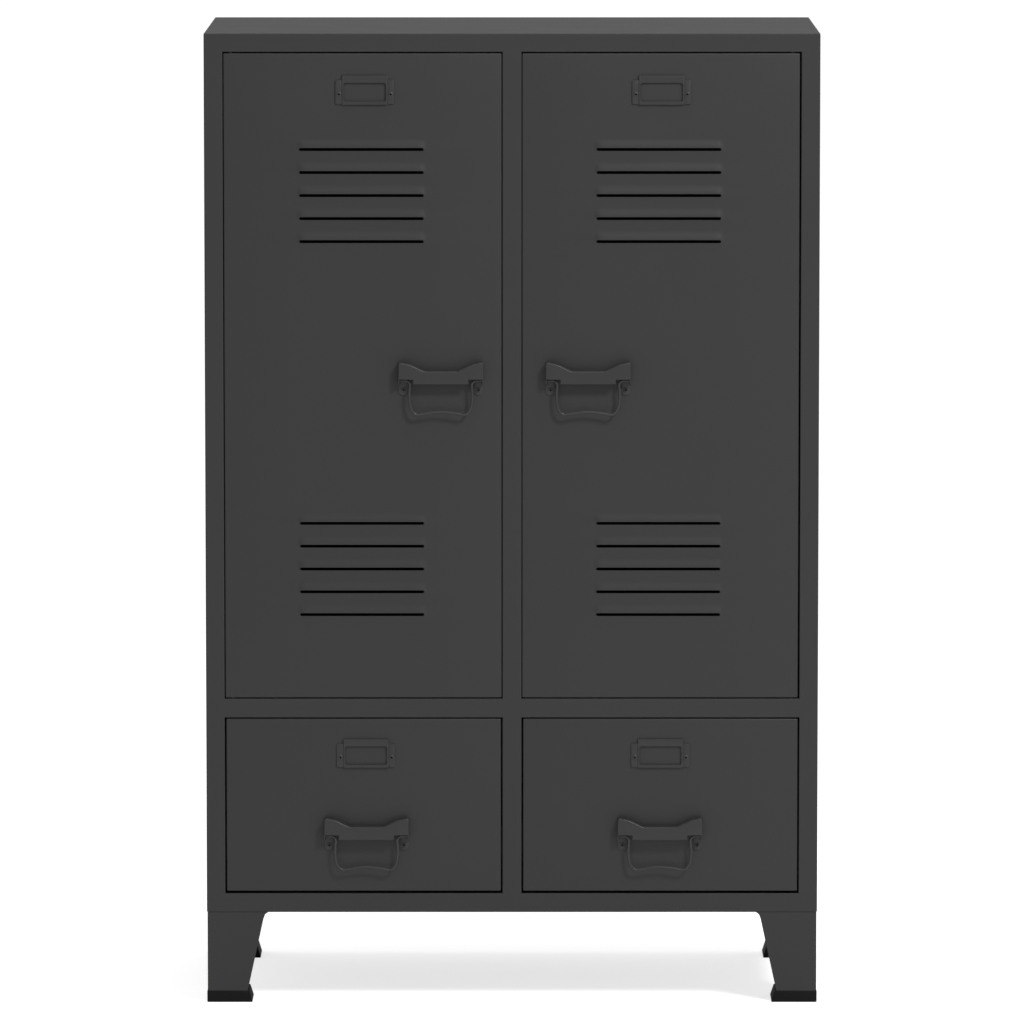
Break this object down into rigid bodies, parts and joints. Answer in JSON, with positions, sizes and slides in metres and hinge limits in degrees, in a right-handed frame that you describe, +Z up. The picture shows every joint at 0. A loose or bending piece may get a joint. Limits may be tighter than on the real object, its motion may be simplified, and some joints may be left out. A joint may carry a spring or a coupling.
{
  "type": "louvred steel locker cabinet",
  "caption": "Tall sheet-steel locker-style cabinet with louvred doors over drawers, drop handles, label holders and tapered legs.",
  "frame": {"origin": "on the floor under the middle of the whole object, drop handles included", "axes": "+Z up, the doors and drawers face -Y, +X to the right of someone facing them"},
  "size_m": [0.67, 0.363, 1.065],
  "materials": {
    "body_paint": "anthracite fine-texture powder coat",
    "fitting_paint": "anthracite powder coat on pressed fittings",
    "zinc_steel": "zinc-plated steel",
    "foot_plastic": "black moulded glide",
    "catch_plastic": "moulded magnet housing"
  },
  "bodies": {
    "cabinet": {"left_side_panel": "body_paint", "right_side_panel": "body_paint", "top_panel": "body_paint", "bottom_panel": "body_paint", "middle_rail": "body_paint", "lower_centre_post": "body_paint", "upper_centre_post": "body_paint", "back_panel": "body_paint", "middle_deck": "body_paint", "upper_partition": "body_paint", "lower_partition": "body_paint", "left_shelf": "body_paint", "left_shelf_clips": "body_paint", "right_shelf": "body_paint", "right_shelf_clips": "body_paint", "front_left_leg": "body_paint", "front_right_leg": "body_paint", "back_left_leg": "body_paint", "back_right_leg": "body_paint", "front_left_foot": "foot_plastic", "front_right_foot": "foot_plastic", "back_left_foot": "foot_plastic", "back_right_foot": "foot_plastic", "leg_screws": "zinc_steel", "left_magnet_catch": "catch_plastic", "right_magnet_catch": "catch_plastic", "left_hinge_pins": "zinc_steel", "right_hinge_pins": "zinc_steel", "left_drawer_rails": "zinc_steel", "right_drawer_rails": "zinc_steel"},
    "left_door": {"left_door": "body_paint", "left_door_stiffener": "body_paint", "left_strike_plate": "zinc_steel", "left_door_label_holder": "fitting_paint", "left_door_handle_bracket": "fitting_paint", "left_door_rivets": "fitting_paint"},
    "left_drawer": {"left_drawer_front": "body_paint", "left_drawer_tray": "body_paint", "left_drawer_slides": "zinc_steel", "left_drawer_label_holder": "fitting_paint", "left_drawer_handle_bracket": "fitting_paint", "left_drawer_rivets": "fitting_paint"},
    "left_door_bail": {"left_door_bail": "fitting_paint"},
    "left_drawer_bail": {"left_drawer_bail": "fitting_paint"},
    "right_door": {"right_door": "body_paint", "right_door_stiffener": "body_paint", "right_strike_plate": "zinc_steel", "right_door_label_holder": "fitting_paint", "right_door_handle_bracket": "fitting_paint", "right_door_rivets": "fitting_paint"},
    "right_drawer": {"right_drawer_front": "body_paint", "right_drawer_tray": "body_paint", "right_drawer_slides": "zinc_steel", "right_drawer_label_holder": "fitting_paint", "right_drawer_handle_bracket": "fitting_paint", "right_drawer_rivets": "fitting_paint"},
    "right_door_bail": {"right_door_bail": "fitting_paint"},
    "right_drawer_bail": {"right_drawer_bail": "fitting_paint"}
  },
  "joints": [
    {"name": "left_door_hinge", "type": "hinge", "parent": "cabinet", "child": "left_door", "pos_m": [-0.3058, -0.1645, 0.6905], "axis": [0, 0, -1], "range_deg": [0, 110]},
    {"name": "left_drawer_slide", "type": "slide", "parent": "cabinet", "child": "left_drawer", "axis": [0, -1, 0], "range_m": [0, 0.24]},
    {"name": "left_door_bail_swing", "type": "hinge", "parent": "left_door", "child": "left_door_bail", "pos_m": [-0.0775, -0.177, 0.6868], "axis": [-1, 0, 0], "range_deg": [-8, 80]},
    {"name": "left_drawer_bail_swing", "type": "hinge", "parent": "left_drawer", "child": "left_drawer_bail", "pos_m": [-0.1594, -0.177, 0.1855], "axis": [-1, 0, 0], "range_deg": [-8, 80]},
    {"name": "right_door_hinge", "type": "hinge", "parent": "cabinet", "child": "right_door", "pos_m": [0.3049, -0.1645, 0.6905], "axis": [0, 0, 1], "range_deg": [0, 110]},
    {"name": "right_drawer_slide", "type": "slide", "parent": "cabinet", "child": "right_drawer", "axis": [0, -1, 0], "range_m": [0, 0.24]},
    {"name": "right_door_bail_swing", "type": "hinge", "parent": "right_door", "child": "right_door_bail", "pos_m": [0.083, -0.177, 0.6868], "axis": [-1, 0, 0], "range_deg": [-8, 80]},
    {"name": "right_drawer_bail_swing", "type": "hinge", "parent": "right_drawer", "child": "right_drawer_bail", "pos_m": [0.162, -0.177, 0.1855], "axis": [-1, 0, 0], "range_deg": [-8, 80]}
  ]
}
